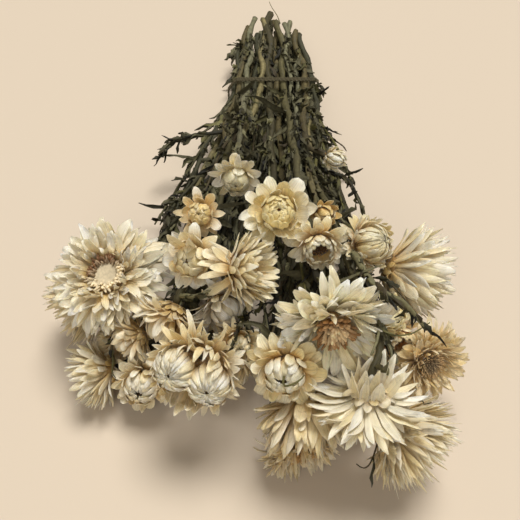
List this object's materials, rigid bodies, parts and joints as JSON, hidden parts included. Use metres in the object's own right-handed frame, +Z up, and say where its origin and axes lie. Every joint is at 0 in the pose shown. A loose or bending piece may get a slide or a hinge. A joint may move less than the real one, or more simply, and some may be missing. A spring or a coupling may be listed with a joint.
{
  "type": "dried strawflower bunch",
  "caption": "Bunch of dried cream strawflowers tied with twine near the cut ends of its leafy stems, lying on its side with the papery heads fanned out.",
  "frame": {"origin": "on the surface that the bunch lies on, under the middle of its bounding box", "axes": "+Y along the stems from the flower heads to the cut ends, +Z up from the surface"},
  "size_m": [0.2221, 0.4202, 0.1073],
  "materials": {
    "bracts": "papery satin",
    "florets": "matt",
    "foliage": "matt dry",
    "twine": "matt fibrous"
  },
  "bodies": {
    "root": {"flower_head_01": "bracts", "flower_head_02": "bracts", "flower_head_03": "bracts", "flower_head_04": "bracts", "flower_head_05": "bracts", "flower_head_06": "bracts", "flower_head_07": "bracts", "flower_head_08": "bracts", "flower_head_09": "bracts", "flower_head_10": "bracts", "flower_head_11": "bracts", "flower_head_12": "bracts", "flower_head_13": "bracts", "flower_head_14": "bracts", "flower_head_15": "bracts", "flower_head_16": "bracts", "flower_head_17": "bracts", "flower_head_18": "bracts", "flower_head_19": "bracts", "flower_head_20": "bracts", "flower_head_21": "bracts", "flower_head_22": "bracts", "flower_head_23": "bracts", "flower_head_24": "bracts", "flower_head_25": "bracts", "flower_head_26": "bracts", "flower_head_27": "bracts", "flower_head_28": "bracts", "flower_head_29": "bracts", "flower_head_30": "bracts", "flower_head_31": "bracts", "flower_head_32": "bracts", "floret_disc_01": "florets", "floret_disc_02": "florets", "floret_disc_03": "florets", "floret_disc_09": "florets", "floret_disc_16": "florets", "floret_disc_17": "florets", "floret_disc_20": "florets", "floret_disc_21": "florets", "floret_disc_22": "florets", "floret_disc_23": "florets", "floret_disc_24": "florets", "leafy_stems_01": "foliage", "leafy_stems_02": "foliage", "leafy_stems_03": "foliage", "leafy_stems_04": "foliage", "leafy_stems_05": "foliage", "leafy_stems_06": "foliage", "leafy_stems_07": "foliage", "leafy_stems_08": "foliage", "leafy_stems_09": "foliage", "leafy_stems_10": "foliage", "leafy_stems_11": "foliage", "leafy_stems_12": "foliage", "leafy_stems_13": "foliage", "leafy_stems_14": "foliage", "leafy_stems_15": "foliage", "leafy_stems_16": "foliage", "binding_twine": "twine"}
  },
  "joints": []
}
